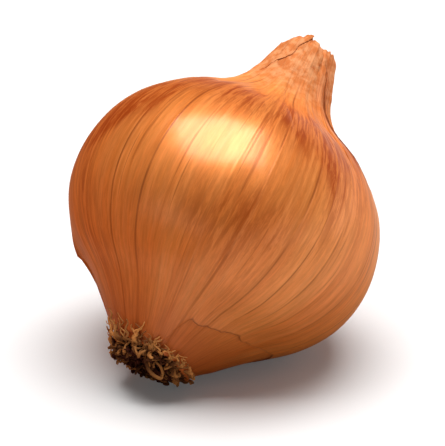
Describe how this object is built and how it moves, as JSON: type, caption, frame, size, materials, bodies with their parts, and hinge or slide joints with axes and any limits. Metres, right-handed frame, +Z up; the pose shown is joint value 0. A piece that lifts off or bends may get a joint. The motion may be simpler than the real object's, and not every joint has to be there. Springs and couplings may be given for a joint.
{
  "type": "onion",
  "caption": "Dry brown onion lying on its side, with a papery veined skin, a withered neck and a tuft of dead roots.",
  "frame": {"origin": "centre of the small flat spot under the bulb, level with the surface that the onion rests on", "axes": "+Z up; the onion leans over on its side with its neck raised towards +X and +Y and its roots towards -X and -Y; its front faces -Y"},
  "size_m": [0.07, 0.0681, 0.0689],
  "materials": {
    "skin": "satin papery skin, copper brown, with fine darker veins from neck to root",
    "roots": "dull dry fibres, tan to dark brown"
  },
  "bodies": {
    "root": {"bulb": "skin", "roots": "roots"}
  },
  "joints": []
}
